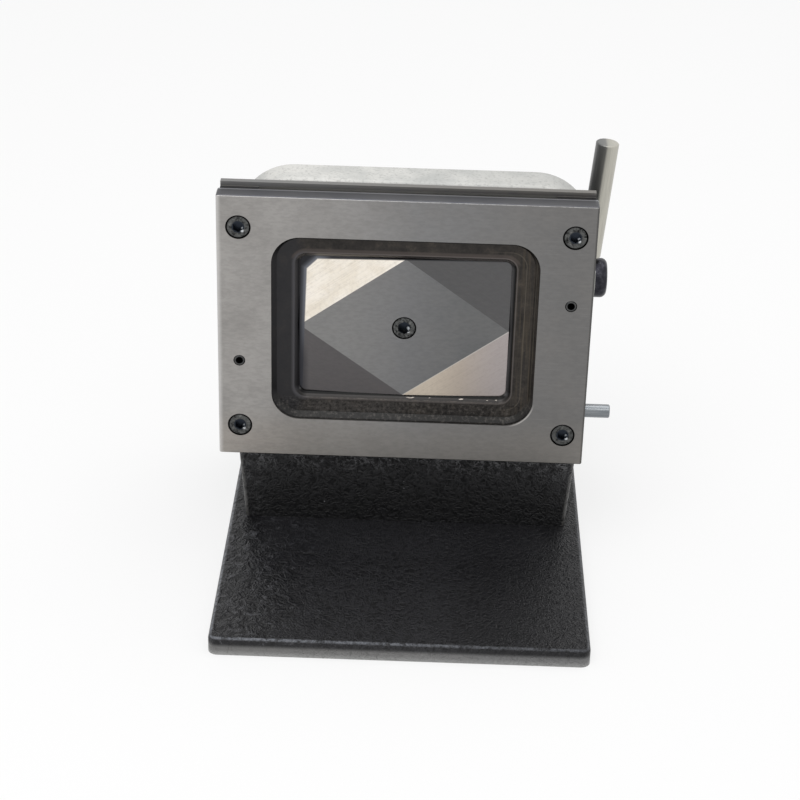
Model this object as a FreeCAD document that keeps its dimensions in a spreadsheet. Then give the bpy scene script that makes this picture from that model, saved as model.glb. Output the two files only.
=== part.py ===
"""Bench card cutter: a lever on an eccentric shaft drives a punch through a slotted die stack.

Frame: X to the right, Y to the back, Z up, millimetres.
The origin is the middle of the base plate's underside.
"""
import FreeCAD, Part
import math
import os
import Sketcher
from FreeCAD import Placement, Rotation, Vector

doc = FreeCAD.newDocument("CardCutter")

# ---------------------------------------------------------------- driving sizes
SIZES = [
    # the card that is cut, and the punch
    ("card_length", 88), ("card_height", 63), ("card_corner", 3), ("punch_fit", 0.05),
    ("punch_reach", 5.3), ("punch_length", 26), ("facet_drop", 1.5),
    # base plate
    ("base_length", 204), ("base_overhang", 4), ("base_thickness", 8), ("base_corner", 4),
    ("base_edge", 2),
    # where the die stack and the shaft stand
    ("die_shift", -2.6), ("die_setback", 78), ("shoulder_height", 51.5), ("shaft_setback", 64),
    # die plate
    ("die_overhang", 3.5), ("die_border", 28.25), ("die_thickness", 8), ("die_edge", 0.5),
    ("pocket_side_margin", 11.5), ("pocket_top_margin", 10.5), ("pocket_depth", 4),
    ("pocket_corner", 12), ("relief_width", 2),
    # sheet slot and guide plate
    ("slot_gap", 2), ("strip_width", 16), ("stop_height", 12),
    ("guide_overhang", 2.5), ("guide_thickness", 3), ("guide_rise", 2),
    # mount plate and body casting
    ("mount_thickness", 7.5), ("mount_drop", 1), ("body_corner", 24), ("wall_thickness", 16),
    ("window_relief", 0.5), ("foot_taper", 3), ("flare_drop", 7), ("pedestal_depth", 77.5),
    ("front_wall", 17.5), ("side_wall", 11.5), ("rear_wall", 10), ("pedestal_roof", 10),
    ("casting_edge", 2),
    # bearing blocks, bushes and shaft
    ("bearing_thickness", 9.5), ("bearing_inset", 2), ("bearing_clearance", 1.5),
    ("journal_diameter", 18), ("bush_wall", 3), ("bush_flange", 2), ("flange_diameter", 28),
    ("running_fit", 0.04), ("eccentric_diameter", 26), ("eccentric_length", 30),
    ("sleeve_wall", 3), ("stroke", 7), ("swing_angle", 135), ("end_float", 0.3),
    # lever and what holds it
    ("lever_diameter", 10), ("lever_length", 63.7), ("lean_angle", 4.9), ("lever_offset", 2.1),
    ("lever_start", 10.5), ("boss_diameter", 30), ("boss_thickness", 4), ("key_flats", 14),
    ("washer_thickness", 1.5), ("washer_diameter", 18), ("collar_width", 7),
    ("collar_diameter", 30), ("stop_diameter", 6), ("stop_reach", 60), ("stop_gap", 0.3),
    ("stop_stickout", 13.8), ("stop_depth", 10),
    # ram, yoke and guide posts
    ("ram_shoulder", 10), ("ram_top", 18), ("ram_clearance", 1.5), ("yoke_floor", 22),
    ("yoke_clearance", 0.65), ("yoke_rear_wall", 9), ("keeper_thickness", 5),
    ("post_diameter", 10), ("post_gap", 2.2), ("post_drop", 22), ("post_depth", 14),
    ("post_length", 68), ("ram_bush_wall", 1.5), ("ear_wall", 2), ("ear_length", 20),
    ("ear_setback", 14), ("ear_gap", 0.7), ("ear_root", 2),
    # cover
    ("cover_thickness", 1.5), ("cover_bend", 3), ("cover_gap", 0.2), ("punch_clearance", 1.5),
    # screws and pins: how far they stand from an edge
    ("die_screw_side", 9), ("die_screw_inset", 14), ("die_dowel_rise", 15),
    ("mount_screw_side", 14.5), ("mount_screw_rise", 6.5), ("punch_dowel_inset", 20),
    ("keeper_screw_inset", 8), ("bearing_bolt_side", 6.2), ("bearing_bolt_front", 14),
    ("bearing_bolt_rear", 10), ("bolt_recess", 26), ("base_screw_side", 24.5),
    ("cover_screw_inset", 12),
    # screws and pins: diameters, sockets, lengths and gaps
    ("screw_six", 6), ("screw_five", 5), ("screw_four", 4), ("screw_ten", 10),
    ("socket_five", 5), ("socket_four", 4), ("socket_small", 2.5),
    ("socket_six", 6), ("low_head", 4), ("head_sink", 0.2),
    ("base_screw_length", 18), ("mount_screw_length", 16), ("die_screw_length", 15),
    ("bearing_bolt_length", 28), ("punch_screw_length", 28), ("keeper_screw_length", 14),
    ("cover_screw_length", 8), ("lever_bolt_length", 22), ("collar_screw_length", 5.5),
    ("dowel_five", 5), ("dowel_six", 6), ("dowel_bore", 3), ("dowel_length", 16),
    ("punch_dowel_length", 16), ("thread_gap", 0.03), ("hole_gap", 0.3), ("screw_chamfer", 0.4),
    # how far a hole runs on past the end of what stands in it
    ("bottom_gap", 1),
]

sheet = doc.addObject("Spreadsheet::Sheet", "Sizes")
for row, (alias, value) in enumerate(SIZES, start=1):
    sheet.set("A%d" % row, alias)
    sheet.set("B%d" % row, str(value))
    sheet.setAlias("B%d" % row, alias)
doc.recompute()


def number(expression):
    """The present value of an expression on the sheet."""
    value = sheet.evalExpression(expression)
    return float(getattr(value, "Value", value))


def size(name):
    return "Sizes." + name


def plus(*terms):
    return "(" + " + ".join(terms) + ")"


def minus(first, *rest):
    return "(" + " - ".join((first,) + rest) + ")"


def half(term):
    return "(" + term + " / 2)"


def double(term):
    return "(2 * " + term + ")"


def negative(term):
    return "(-1 * " + term + ")"


def larger(first, second):
    return "max(" + first + "; " + second + ")"


# ---------------------------------------------------------------- shared places
# up: the die stack stands on the shoulder, and the shaft is level with the card's middle
CARD_HALF_X, CARD_HALF_Z = half(size("card_length")), half(size("card_height"))
DIE_HALF_Z = plus(CARD_HALF_Z, size("die_border"))
SHOULDER_Z = size("shoulder_height")
AXIS_Z = plus(SHOULDER_Z, DIE_HALF_Z)
KEEPER_TOP = plus(size("ram_top"), size("keeper_thickness"))
BEARING_TOP = plus(KEEPER_TOP, size("bearing_clearance"))
COVER_Z = plus(AXIS_Z, BEARING_TOP)
# across: the posts stand beside the punch, then the ears, the bearings and the casting's sides
DIE_X = size("die_shift")
POST_X = plus(CARD_HALF_X, half(size("post_diameter")), size("post_gap"))
RAM_BUSH_RADIUS = plus(half(size("post_diameter")), size("ram_bush_wall"))
EAR_REACH = plus(RAM_BUSH_RADIUS, size("ear_wall"))
BEARING_IN = minus(plus(POST_X, EAR_REACH, size("ear_gap")), DIE_X)
BEARING_OUT = plus(BEARING_IN, size("bearing_thickness"))
BODY_HALF = plus(BEARING_OUT, size("bearing_inset"))
FOOT_HALF = minus(BODY_HALF, size("foot_taper"))
BASE_HALF = plus(BODY_HALF, size("base_overhang"))
DIE_HALF_X = plus(BODY_HALF, size("die_overhang"))
GUIDE_HALF = plus(BODY_HALF, size("guide_overhang"))
RAM_HALF = minus(CARD_HALF_X, size("ram_shoulder"))
BOSS_X = plus(BEARING_OUT, size("bush_flange"), size("end_float"))
BOSS_OUT = plus(BOSS_X, size("boss_thickness"))
BOLT_X = plus(BOSS_OUT, size("washer_thickness"))
# back: the stack's plates one behind the other, then the wall, the shaft and the rear
DIE_Y = minus(size("die_setback"), half(size("base_length")))
SLOT_Y = plus(DIE_Y, size("die_thickness"))
GUIDE_Y = plus(SLOT_Y, size("slot_gap"))
MOUNT_Y = plus(GUIDE_Y, size("guide_thickness"))
BODY_Y = plus(MOUNT_Y, size("mount_thickness"))
WALL_REAR_Y = plus(BODY_Y, size("wall_thickness"))
REAR_Y = plus(BODY_Y, size("pedestal_depth"))
SHAFT_Y = plus(DIE_Y, size("shaft_setback"))
PUNCH_Y = plus(DIE_Y, size("punch_reach"))
RAM_Y = plus(PUNCH_Y, size("punch_length"))
# the eccentric's centre at rest, from the shaft's axis
HALF_SWING = half(size("swing_angle"))
THROW = "(" + half(size("stroke")) + " / sin" + HALF_SWING + ")"
ECCENTRIC_Y = negative(half(size("stroke")))
ECCENTRIC_Z = negative("(" + THROW + " * cos" + HALF_SWING + ")")
SLEEVE_RADIUS = plus(half(size("eccentric_diameter")), size("sleeve_wall"))
YOKE_HALF = plus(SLEEVE_RADIUS, size("yoke_clearance"))
BUSH_RADIUS = plus(half(size("journal_diameter")), size("bush_wall"))


# ---------------------------------------------------------------- drawing helpers
nodes = []


def place(item, x="0", y="0", z="0", rotation=None):
    """Sets an object's turn, and binds its place to expressions."""
    item.Placement = Placement(Vector(0, 0, 0), rotation or Rotation())
    for axis, expression in zip("xyz", (x, y, z)):
        item.setExpression("Placement.Base." + axis, expression)
    return item


def keep(item, label):
    item.Label = label
    nodes.append(item)
    return item


def new_body(label):
    body = doc.addObject("PartDesign::Body", "Body_" + label)
    return keep(body, label)


def new_sketch(body, plane, offset="0"):
    """An empty sketch on one of the body's own planes, moved along that plane's normal."""
    origin_plane = [item for item in body.Origin.OriginFeatures if item.Role == plane][0]
    sketch = body.newObject("Sketcher::SketchObject", body.Name + "_sketch")
    sketch.AttachmentSupport = [(origin_plane, "")]
    sketch.MapMode = "FlatFace"
    sketch.setExpression("AttachmentOffset.Base.z", offset)
    return sketch


def pin_point(sketch, geometry, point, x, y):
    """Fixes one point of a sketch at a pair of expressions."""
    for kind, axis, expression in (("DistanceX", -2, x), ("DistanceY", -1, y)):
        if expression == "0":
            sketch.addConstraint(Sketcher.Constraint("PointOnObject", geometry, point, axis))
            continue
        value = number(expression)
        index = sketch.addConstraint(
            Sketcher.Constraint(kind, -1, 1, geometry, point, value))
        sketch.setExpression("Constraints[%d]" % index, expression)


def circle(sketch, x, y, diameter):
    centre = Vector(number(x), number(y), 0)
    index = sketch.addGeometry(Part.Circle(centre, Vector(0, 0, 1), number(diameter) / 2))
    pin_point(sketch, index, 3, x, y)
    bound = sketch.addConstraint(Sketcher.Constraint("Diameter", index, number(diameter)))
    sketch.setExpression("Constraints[%d]" % bound, diameter)


def polygon(sketch, corners):
    """A closed outline of straight lines through corners given as pairs of expressions."""
    points = [Vector(number(x), number(y), 0) for x, y in corners]
    first = sketch.GeometryCount
    count = len(points)
    for index in range(count):
        sketch.addGeometry(Part.LineSegment(points[index], points[(index + 1) % count]))
    for index in range(count):
        following = first + (index + 1) % count
        sketch.addConstraint(Sketcher.Constraint("Coincident", first + index, 2, following, 1))
    for index, (x, y) in enumerate(corners):
        pin_point(sketch, first + index, 1, x, y)


def rectangle(sketch, left, bottom, right, top):
    polygon(sketch, [(left, bottom), (right, bottom), (right, top), (left, top)])


def rounded_rectangle(sketch, width, height, radius, x="0", y="0"):
    """A rectangle with equal rounded corners, centred at x, y."""
    mid_x, mid_y = number(x), number(y)
    out_x, out_y, bend = number(width) / 2, number(height) / 2, number(radius)
    in_x, in_y = out_x - bend, out_y - bend
    first = sketch.GeometryCount
    sides = [((-in_x, -out_y), (in_x, -out_y)), ((out_x, -in_y), (out_x, in_y)),
             ((in_x, out_y), (-in_x, out_y)), ((-out_x, in_y), (-out_x, -in_y))]
    for start, end in sides:
        sketch.addGeometry(Part.LineSegment(
            Vector(mid_x + start[0], mid_y + start[1], 0),
            Vector(mid_x + end[0], mid_y + end[1], 0)))
    quarter = math.pi / 2
    for turn, (sign_x, sign_y) in enumerate(((1, -1), (1, 1), (-1, 1), (-1, -1))):
        centre = Vector(mid_x + sign_x * in_x, mid_y + sign_y * in_y, 0)
        arc = Part.ArcOfCircle(Part.Circle(centre, Vector(0, 0, 1), bend),
                               (turn - 1) * quarter, turn * quarter)
        sketch.addGeometry(arc)
    for turn in range(4):
        arc = first + 4 + turn
        following = first + (turn + 1) % 4
        sketch.addConstraint(Sketcher.Constraint("Tangent", first + turn, 2, arc, 1))
        sketch.addConstraint(Sketcher.Constraint("Tangent", arc, 2, following, 1))
    sketch.addConstraint(Sketcher.Constraint("Horizontal", first))
    sketch.addConstraint(Sketcher.Constraint("Vertical", first + 1))
    sketch.addConstraint(Sketcher.Constraint("Horizontal", first + 2))
    sketch.addConstraint(Sketcher.Constraint("Vertical", first + 3))
    for turn in range(1, 4):
        sketch.addConstraint(Sketcher.Constraint("Equal", first + 4, first + 4 + turn))
    bound = [
        (Sketcher.Constraint("Radius", first + 4, bend), radius),
        (Sketcher.Constraint("DistanceX", -1, 1, first + 1, 1, mid_x + out_x),
         plus(x, half(width))),
        (Sketcher.Constraint("DistanceX", -1, 1, first + 3, 1, mid_x - out_x),
         minus(x, half(width))),
        (Sketcher.Constraint("DistanceY", -1, 1, first + 2, 1, mid_y + out_y),
         plus(y, half(height))),
        (Sketcher.Constraint("DistanceY", -1, 1, first, 1, mid_y - out_y),
         minus(y, half(height))),
    ]
    for constraint, expression in bound:
        index = sketch.addConstraint(constraint)
        sketch.setExpression("Constraints[%d]" % index, expression)


def pad(body, sketch, length, reverse=False):
    feature = body.newObject("PartDesign::Pad", body.Name + "_pad")
    feature.Profile = sketch
    feature.Reversed = reverse
    feature.setExpression("Length", length)
    return feature


def pocket(body, sketch, length, reverse=False):
    """A cut from the sketch's plane, against the plane's normal unless reversed."""
    feature = body.newObject("PartDesign::Pocket", body.Name + "_pocket")
    feature.Profile = sketch
    feature.Reversed = reverse
    feature.setExpression("Length", length)
    return feature


def dress(body, kind, base, amount, choose):
    """Fillets or chamfers the edges of the base feature that the test picks."""
    doc.recompute()
    names = ["Edge%d" % (index + 1) for index, edge in enumerate(base.Shape.Edges)
             if choose(edge)]
    feature = body.newObject("PartDesign::" + kind, body.Name + "_" + kind.lower())
    feature.Base = (base, names)
    feature.setExpression("Radius" if kind == "Fillet" else "Size", amount)
    return feature


def flat_at(axis, value, slack=0.001):
    """A test for edges that lie in one plane across an axis."""
    low, high = axis + "Min", axis + "Max"

    def test(edge):
        box = edge.BoundBox
        return abs(getattr(box, low) - value) < slack and abs(getattr(box, high) - value) < slack
    return test


FOUR_WAYS = [(-1, -1), (1, -1), (-1, 1), (1, 1)]


def signed(sign, term):
    return term if sign > 0 else negative(term)


# ---------------------------------------------------------------- screws and pins
def clear_hole(screw):
    """The diameter of the hole that a screw's shank passes through."""
    return plus(size(screw), size("hole_gap"))


def head_diameter(screw):
    return plus("(1.5 * " + size(screw) + ")", "1")


def head_hole(screw):
    """The diameter of the recess round a cap screw's head."""
    return plus(head_diameter(screw), size("hole_gap"))


def revolved(name, profile):
    """A turned piece: a half profile on the XZ plane, spun round Z."""
    body = doc.addObject("PartDesign::Body", name)
    sketch = new_sketch(body, "XZ_Plane")
    polygon(sketch, profile)
    feature = body.newObject("PartDesign::Revolution", name + "_turned")
    feature.Profile = sketch
    feature.ReferenceAxis = (sketch, ["V_Axis"])
    feature.Angle = 360
    return body


def cut_hexagon(body, flats, depth, top="0"):
    """A hexagon socket, sunk from the head's top."""
    sketch = new_sketch(body, "XY_Plane", top)
    side, tip = half(flats), "(" + flats + " / sqrt(3))"
    low = half(tip)
    polygon(sketch, [(side, negative(low)), (side, low), ("0", tip),
                     (negative(side), low), (negative(side), negative(low)),
                     ("0", negative(tip))])
    pocket(body, sketch, depth)
    return body


def cap_screw(name, screw, length, head_height, flats):
    """A socket cap screw: its head's top is at z = 0 and its shank points down."""
    head, shank = half(head_diameter(screw)), minus(half(size(screw)), size("thread_gap"))
    bevel, end = size("screw_chamfer"), negative(plus(head_height, length))
    body = revolved(name, [
        ("0", "0"), (minus(head, bevel), "0"), (head, negative(bevel)),
        (head, negative(head_height)), (shank, negative(head_height)),
        (shank, plus(end, bevel)), (minus(shank, bevel), end), ("0", end)])
    return cut_hexagon(body, flats, half(plus(head_height, "1")))


def flat_screw(name, screw, length, flats):
    """A countersunk socket screw: its flat head is at z = 0; the length includes the head."""
    head, shank = size(screw), minus(half(size(screw)), size("thread_gap"))
    bevel, end = size("screw_chamfer"), negative(length)
    body = revolved(name, [
        ("0", "0"), (head, "0"), (shank, minus(shank, head)),
        (shank, plus(end, bevel)), (minus(shank, bevel), end), ("0", end)])
    return cut_hexagon(body, flats, "(0.4 * " + size(screw) + ")")


def button_screw(name, screw, length, flats):
    """A socket screw whose low rounded head stands on z = 0 and points up."""
    head, rise = "(0.875 * " + size(screw) + ")", "(0.55 * " + size(screw) + ")"
    shank = minus(half(size(screw)), size("thread_gap"))
    bevel, end = size("screw_chamfer"), negative(length)
    body = revolved(name, [
        ("0", rise), (head, rise), (head, "0"), (shank, "0"),
        (shank, plus(end, bevel)), (minus(shank, bevel), end), ("0", end)])
    dress(body, "Fillet", body.Tip, half(rise), flat_at("Z", number(rise)))
    return cut_hexagon(body, flats, "(0.6 * " + rise + ")", rise)


def pin(name, diameter, length, bore=None):
    """A pin with bevelled ends, from z = 0 down, bored through if a bore is given."""
    radius, bevel, inner = half(diameter), size("screw_chamfer"), half(bore) if bore else "0"
    return revolved(name, [
        (inner, "0"), (minus(radius, bevel), "0"), (radius, negative(bevel)),
        (radius, minus(bevel, length)), (minus(radius, bevel), negative(length)),
        (inner, negative(length))])


def group(label, master, turned_places):
    """Copies of one fastener as the separate solids of one node."""
    copies = []
    for rotation, places in turned_places:
        for x, y, z in places:
            link = doc.addObject("App::Link", label + "_copy")
            link.LinkedObject = master
            copies.append(place(link, x, y, z, rotation))
    compound = doc.addObject("Part::Compound", "Group_" + label)
    compound.Links = copies
    return keep(compound, label)


# a fastener's head is drawn facing +Z: these turn it to face the front, right or down
TO_FRONT = Rotation(Vector(1, 0, 0), 90)
TO_RIGHT = Rotation(Vector(0, 1, 0), 90)
TO_BACK = Rotation(Vector(1, 0, 0), -90)
TO_BELOW = Rotation(Vector(1, 0, 0), 180)
UPWARD = Rotation()


# ---------------------------------------------------------------- base plate
base = place(new_body("base_plate"))
outline = new_sketch(base, "XY_Plane")
rounded_rectangle(outline, double(BASE_HALF), size("base_length"), size("base_corner"))
slab = pad(base, outline, size("base_thickness"))
dress(base, "Fillet", slab, size("base_edge"), flat_at("Z", number(size("base_thickness"))))

# the four base screws stand under the casting's front and rear walls
BASE_SCREW_YS = [plus(BODY_Y, half(size("front_wall"))), minus(REAR_Y, half(size("rear_wall")))]
base_screw_places = [(signed(side, minus(BODY_HALF, size("base_screw_side"))), y)
                     for y in BASE_SCREW_YS for side in (-1, 1)]
holes = new_sketch(base, "XY_Plane")
for x, y in base_screw_places:
    circle(holes, x, y, clear_hole("screw_six"))
drilled = pocket(base, holes, size("base_thickness"), reverse=True)


def round_edges_at(axis, value, diameter):
    """A test for the rims of round holes of one diameter, in one plane."""
    in_plane = flat_at(axis, value)

    def test(edge):
        return in_plane(edge) and abs(edge.Length - math.pi * diameter) < 0.01
    return test


def sink(body, base_feature, axis, value, screw):
    """Countersinks the clearance holes of one screw size at one plane."""
    amount = plus(half(minus(size(screw), size("hole_gap"))), size("head_sink"))
    return dress(body, "Chamfer", base_feature, amount,
                 round_edges_at(axis, value, number(clear_hole(screw))))


sink(base, drilled, "Z", 0, "screw_six")

# ---------------------------------------------------------------- body casting
# One iron casting: a pedestal that flares to the shoulder, and a wall above it.
casting = place(new_body("body_casting"), y=BODY_Y)
FLARE_Z = minus(SHOULDER_Z, size("flare_drop"))
TOP_Z = plus(AXIS_Z, DIE_HALF_Z)
BASE_TOP = size("base_thickness")
outline = new_sketch(casting, "XZ_Plane")
polygon(outline, [
    (negative(FOOT_HALF), BASE_TOP), (FOOT_HALF, BASE_TOP), (BODY_HALF, FLARE_Z),
    (BODY_HALF, TOP_Z), (negative(BODY_HALF), TOP_Z), (negative(BODY_HALF), FLARE_Z)])
wall = pad(casting, outline, size("wall_thickness"), reverse=True)
outline = new_sketch(casting, "XZ_Plane")
polygon(outline, [
    (negative(FOOT_HALF), BASE_TOP), (FOOT_HALF, BASE_TOP), (BODY_HALF, FLARE_Z),
    (BODY_HALF, SHOULDER_Z), (negative(BODY_HALF), SHOULDER_Z), (negative(BODY_HALF), FLARE_Z)])
pedestal = pad(casting, outline, size("pedestal_depth"), reverse=True)


def top_corner(edge):
    """The two edges along Y where the wall's sides meet its top."""
    box = edge.BoundBox
    outer = abs(abs(box.Center.x) - number(BODY_HALF)) < 0.01
    return outer and box.XLength < 0.01 and abs(box.ZMin - number(TOP_Z)) < 0.01


shoulders = dress(casting, "Fillet", pedestal, size("body_corner"), top_corner)


def casting_rim(edge):
    """The casting's outer edges at its front and rear faces, above the base plate."""
    box = edge.BoundBox
    depth = number(size("pedestal_depth"))
    across = box.YLength < 0.01 and min(abs(box.YMin), abs(box.YMin - depth)) < 0.01
    return across and box.ZMax > number(BASE_TOP) + 1


rounded = dress(casting, "Fillet", shoulders, size("casting_edge"), casting_rim)
window = new_sketch(casting, "XZ_Plane")
rounded_rectangle(window, plus(size("card_length"), double(size("window_relief"))),
                  plus(size("card_height"), double(size("window_relief"))),
                  size("card_corner"), DIE_X, AXIS_Z)
pocket(casting, window, size("wall_thickness"))

cavity = new_sketch(casting, "XY_Plane", BASE_TOP)
CAVITY_HALF = minus(FOOT_HALF, size("side_wall"))
rectangle(cavity, negative(CAVITY_HALF), size("front_wall"), CAVITY_HALF,
          minus(size("pedestal_depth"), size("rear_wall")))
CAVITY_RISE = minus(SHOULDER_Z, BASE_TOP, size("pedestal_roof"))
pocket(casting, cavity, CAVITY_RISE, reverse=True)

threads = new_sketch(casting, "XY_Plane", BASE_TOP)
for x, y in base_screw_places:
    circle(threads, x, minus(y, BODY_Y), size("screw_six"))
pocket(casting, threads, plus(minus(size("base_screw_length"), BASE_TOP), size("bottom_gap")),
       reverse=True)

# bearing bolts: deep recesses from below, in the side walls
BEARING_BOLT_YS = [plus(WALL_REAR_Y, size("bearing_bolt_front")),
                   minus(REAR_Y, size("bearing_bolt_rear"))]
BEARING_BOLT_X = minus(BEARING_OUT, size("bearing_bolt_side"))
bearing_bolt_places = [(signed(side, BEARING_BOLT_X), y)
                       for y in BEARING_BOLT_YS for side in (-1, 1)]
for diameter, depth in ((clear_hole("screw_five"), minus(SHOULDER_Z, BASE_TOP)),
                        (head_hole("screw_five"), size("bolt_recess"))):
    bores = new_sketch(casting, "XY_Plane", BASE_TOP)
    for x, y in bearing_bolt_places:
        circle(bores, x, minus(y, BODY_Y), diameter)
    pocket(casting, bores, depth, reverse=True)

post_bores = new_sketch(casting, "XZ_Plane", negative(size("wall_thickness")))
for side in (-1, 1):
    circle(post_bores, plus(DIE_X, signed(side, POST_X)), minus(AXIS_Z, size("post_drop")),
           size("post_diameter"))
pocket(casting, post_bores, size("post_depth"), reverse=True)

MOUNT_SCREW_X = minus(BODY_HALF, size("mount_screw_side"))
MOUNT_SCREW_Z = plus(CARD_HALF_Z, size("mount_screw_rise"))
MOUNT_SCREWS = [(signed(across, MOUNT_SCREW_X), signed(up, MOUNT_SCREW_Z))
                for across, up in FOUR_WAYS]
mount_threads = new_sketch(casting, "XZ_Plane")
for x, z in MOUNT_SCREWS:
    circle(mount_threads, plus(DIE_X, x), plus(AXIS_Z, z), size("screw_six"))
pocket(casting, mount_threads,
       plus(minus(size("mount_screw_length"), size("mount_thickness")), size("bottom_gap")))

# the stop pin's hole, in the right side of the wall, where the lever meets the pin
STOP_SPREAD = plus(half(plus(size("lever_diameter"), size("stop_diameter"))), size("stop_gap"))
STOP_ANGLE = "(" + size("swing_angle") + " * 1 deg + asin(" + STOP_SPREAD + " / " + size("stop_reach") + "))"
STOP_Y = minus(SHAFT_Y, "(" + size("stop_reach") + " * sin" + STOP_ANGLE + ")")
STOP_Z = plus(AXIS_Z, "(" + size("stop_reach") + " * cos" + STOP_ANGLE + ")")
stop_bore = new_sketch(casting, "YZ_Plane", BODY_HALF)
circle(stop_bore, minus(STOP_Y, BODY_Y), STOP_Z, size("stop_diameter"))
pocket(casting, stop_bore, size("stop_depth"))

# ---------------------------------------------------------------- plates of the die stack
CARD_BORE = (plus(size("card_length"), double(size("punch_fit"))),
             plus(size("card_height"), double(size("punch_fit"))),
             plus(size("card_corner"), size("punch_fit")))
DIE_SCREW_X = minus(DIE_HALF_X, size("die_screw_side"))
DIE_SCREW_Z = minus(DIE_HALF_Z, size("die_screw_inset"))
DIE_SCREWS = [(signed(across, DIE_SCREW_X), signed(up, DIE_SCREW_Z)) for across, up in FOUR_WAYS]
DIE_DOWELS = [(signed(way, DIE_SCREW_X), signed(way, size("die_dowel_rise")))
              for way in (-1, 1)]


def drill(body, places, diameter, depth, offset="0"):
    """Round holes from a plane across Y, towards the back."""
    sketch = new_sketch(body, "XZ_Plane", offset)
    for x, z in places:
        circle(sketch, x, z, diameter)
    return pocket(body, sketch, depth)


def stack_plate(label, y, left, bottom, right, top, thickness):
    """A plate across Y whose own origin is on the punch's axis, at the plate's front face."""
    body = place(new_body(label), DIE_X, y, AXIS_Z)
    sketch = new_sketch(body, "XZ_Plane")
    rectangle(sketch, left, bottom, right, top)
    pad(body, sketch, thickness, reverse=True)
    return body


def card_window(body, depth):
    sketch = new_sketch(body, "XZ_Plane")
    rounded_rectangle(sketch, *CARD_BORE)
    return pocket(body, sketch, depth)


# mount plate: the steel face of the casting, which the die stack is screwed to
mount = stack_plate("mount_plate", MOUNT_Y, negative(BODY_HALF), negative(DIE_HALF_Z), BODY_HALF,
                    minus(DIE_HALF_Z, size("mount_drop")), size("mount_thickness"))
card_window(mount, size("mount_thickness"))
drill(mount, DIE_SCREWS, size("screw_six"), size("mount_thickness"))
drill(mount, DIE_DOWELS, size("dowel_five"), size("mount_thickness"))
sunk = drill(mount, MOUNT_SCREWS, clear_hole("screw_six"), size("mount_thickness"))
sink(mount, sunk, "Y", 0, "screw_six")

guide = stack_plate("guide_plate", GUIDE_Y, negative(GUIDE_HALF), negative(DIE_HALF_Z),
                    GUIDE_HALF, plus(DIE_HALF_Z, size("guide_rise")), size("guide_thickness"))
card_window(guide, size("guide_thickness"))

STRIP_X = minus(GUIDE_HALF, size("strip_width"))
strip_left = stack_plate("spacer_left", SLOT_Y, negative(GUIDE_HALF), negative(DIE_HALF_Z),
                         negative(STRIP_X), DIE_HALF_Z, size("slot_gap"))
strip_right = stack_plate("spacer_right", SLOT_Y, STRIP_X, negative(DIE_HALF_Z),
                          GUIDE_HALF, DIE_HALF_Z, size("slot_gap"))
stack_plate("sheet_stop", SLOT_Y, negative(STRIP_X), negative(DIE_HALF_Z), STRIP_X,
            minus(size("stop_height"), DIE_HALF_Z), size("slot_gap"))
for plate, side, thickness in ((strip_left, (-1,), "slot_gap"), (strip_right, (1,), "slot_gap"),
                               (guide, (-1, 1), "guide_thickness")):
    drill(plate, [(signed(way, DIE_SCREW_X), signed(up, DIE_SCREW_Z))
                  for way in side for up in (-1, 1)],
          clear_hole("screw_six"), size(thickness))
    drill(plate, [(signed(way, DIE_SCREW_X), signed(way, size("die_dowel_rise")))
                  for way in side], size("dowel_five"), size(thickness))

# die plate: a shallow pocket in front, and the cutting edge at its rear face
die = place(new_body("die_plate"), DIE_X, DIE_Y, AXIS_Z)
outline = new_sketch(die, "XZ_Plane")
rectangle(outline, negative(DIE_HALF_X), negative(DIE_HALF_Z), DIE_HALF_X, DIE_HALF_Z)
plate = pad(die, outline, size("die_thickness"), reverse=True)
broken = dress(die, "Chamfer", plate, size("die_edge"), lambda edge: True)
sketch = new_sketch(die, "XZ_Plane")
rounded_rectangle(sketch, plus(size("card_length"), double(size("pocket_side_margin"))),
                  plus(size("card_height"), double(size("pocket_top_margin"))),
                  size("pocket_corner"))
pocket(die, sketch, size("pocket_depth"))
opened = card_window(die, size("die_thickness"))


def opening_rim(edge):
    """The rim of the die opening at the pocket's floor."""
    box = edge.BoundBox
    inside = abs(box.Center.x) < number(plus(CARD_HALF_X, half(size("pocket_side_margin"))))
    return inside and flat_at("Y", number(size("pocket_depth")))(edge)


dress(die, "Chamfer", opened, size("relief_width"), opening_rim)
drill(die, DIE_SCREWS, clear_hole("screw_six"), size("die_thickness"))
drill(die, DIE_SCREWS, head_hole("screw_six"),
      plus(size("low_head"), size("head_sink")))
drill(die, DIE_DOWELS, size("dowel_five"), size("die_thickness"))

# ---------------------------------------------------------------- punch
punch = place(new_body("punch"), DIE_X, PUNCH_Y, AXIS_Z)
outline = new_sketch(punch, "XZ_Plane")
rounded_rectangle(outline, size("card_length"), size("card_height"), size("card_corner"))
pad(punch, outline, size("punch_length"), reverse=True)
# each corner facet is a wedge that runs along one side of the diamond face
for across, up in FOUR_WAYS:
    wedge = new_sketch(punch, "YZ_Plane")
    reach = "(2.2 * " + CARD_HALF_Z + ")"
    drop = "(1.2 * " + size("facet_drop") + ")"
    polygon(wedge, [("0", signed(up, CARD_HALF_Z)), ("0", signed(up, reach)),
                    (drop, signed(up, reach))])
    facet = punch.newObject("PartDesign::Pocket", "punch_facet")
    facet.Profile = wedge
    facet.UseCustomVector = True
    facet.Direction = Vector(across, 0, -up)
    facet.setExpression("Direction.x", signed(across, CARD_HALF_X))
    facet.setExpression("Direction.z", signed(-up, CARD_HALF_Z))
    facet.AlongSketchNormal = False
    facet.setExpression("Length", "(1.5 * (" + CARD_HALF_X + " + " + CARD_HALF_Z + "))")
drill(punch, [("0", "0")], clear_hole("screw_six"), size("punch_length"))
drill(punch, [("0", "0")],
      head_hole("screw_six"),
      plus(size("screw_six"), size("head_sink")))
PUNCH_DOWELS = [(signed(side, minus(CARD_HALF_X, size("punch_dowel_inset"))), "0")
                for side in (-1, 1)]
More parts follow.
